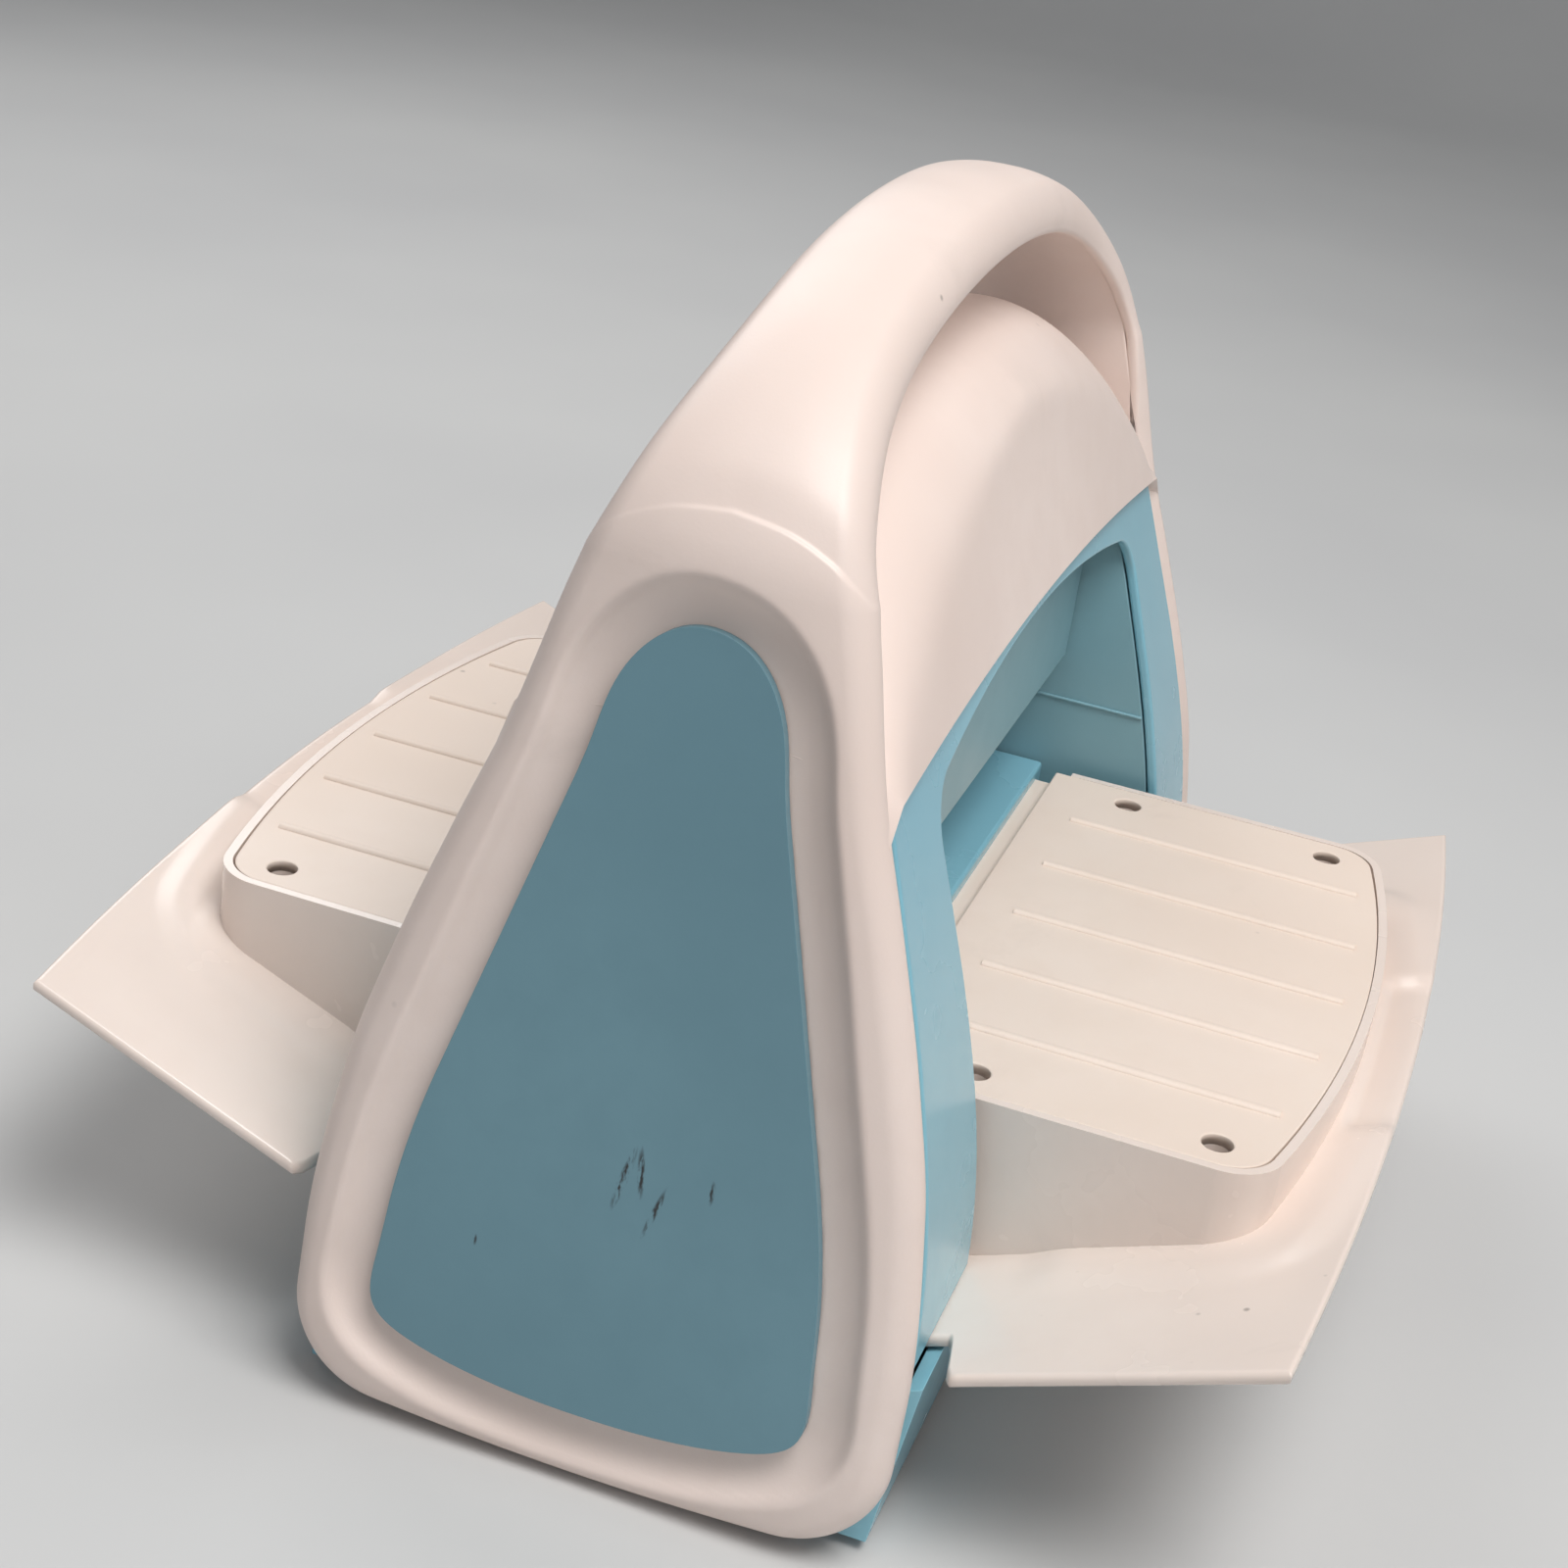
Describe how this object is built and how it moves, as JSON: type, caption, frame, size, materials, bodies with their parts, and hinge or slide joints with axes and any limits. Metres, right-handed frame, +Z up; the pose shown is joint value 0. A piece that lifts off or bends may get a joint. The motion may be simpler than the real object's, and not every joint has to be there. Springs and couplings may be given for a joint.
{
  "type": "roller die-cutting machine",
  "caption": "Hand-cranked table-top roller machine for die cutting and embossing: white arched body with handle, blue housing, feed window and sloping wings.",
  "frame": {"origin": "on the table, under the middle of the machine", "axes": "+Z up, +X across the machine towards the crank, +Y along the feed direction; the front wing is on -Y"},
  "size_m": [0.3416, 0.2686, 0.231],
  "materials": {
    "white_shell": "satin moulded",
    "white_wing": "glossy moulded",
    "platform": "fine matt",
    "slate_panel": "smooth satin",
    "aqua_shell": "satin moulded",
    "steel": "brushed",
    "zinc": "zinc plated",
    "bronze": "sintered bronze",
    "gear_nylon": "natural nylon",
    "rubber": "matt"
  },
  "bodies": {
    "machine": {"side_bezel_left": "white_shell", "side_bezel_right": "white_shell", "side_inset_left": "slate_panel", "side_inset_right": "slate_panel", "handle_arch": "white_shell", "handle_liner": "white_shell", "top_cover": "white_shell", "housing_front": "aqua_shell", "housing_rear": "aqua_shell", "passage_wall_left": "aqua_shell", "passage_wall_right": "aqua_shell", "upper_roller_cover": "aqua_shell", "lower_roller_cover": "aqua_shell", "base_housing": "aqua_shell", "base_plate": "zinc", "rubber_feet": "rubber", "base_screws": "steel", "wing_front": "white_wing", "wing_rear": "white_wing", "riser_front": "white_wing", "riser_rear": "white_wing", "platform_front": "platform", "platform_rear": "platform", "platform_screws_front": "steel", "platform_screws_rear": "steel", "chassis_plate_left": "zinc", "chassis_plate_right": "zinc", "tie_rods": "steel", "tie_rod_nuts": "steel", "roller_bushes_left": "bronze", "roller_bushes_right": "bronze", "crank_bushes": "bronze", "crank_bracket": "zinc", "bracket_spacers": "steel", "bracket_screws": "steel", "crank_escutcheon": "white_shell"},
    "upper_roller": {"upper_roller": "steel", "upper_roller_gear": "gear_nylon", "upper_roller_ring": "steel"},
    "lower_roller": {"lower_roller": "steel", "lower_roller_gear": "gear_nylon", "lower_roller_ring": "steel"},
    "crank": {"crank_shaft": "steel", "crank_pinion": "gear_nylon", "crank_arm": "white_shell", "crank_arm_screw": "slate_panel", "knob_spindle": "steel"},
    "knob": {"crank_knob": "slate_panel"}
  },
  "joints": [
    {"name": "upper_roller_turn", "type": "hinge", "parent": "machine", "child": "upper_roller", "pos_m": [0, 0, 0.108], "axis": [1, 0, 0], "continuous": true},
    {"name": "lower_roller_turn", "type": "hinge", "parent": "machine", "child": "lower_roller", "pos_m": [0, 0, 0.059], "axis": [1, 0, 0], "continuous": true},
    {"name": "crank_turn", "type": "hinge", "parent": "machine", "child": "crank", "pos_m": [0.128, 0, 0.14475], "axis": [1, 0, 0], "continuous": true},
    {"name": "knob_spin", "type": "hinge", "parent": "crank", "child": "knob", "pos_m": [0.17, 0.06718, 0.07757], "axis": [1, 0, 0], "continuous": true}
  ],
  "couplings": [
    {"joint": "lower_roller_turn", "follows": "upper_roller_turn", "ratio": -1},
    {"joint": "crank_turn", "follows": "upper_roller_turn", "ratio": -2}
  ]
}
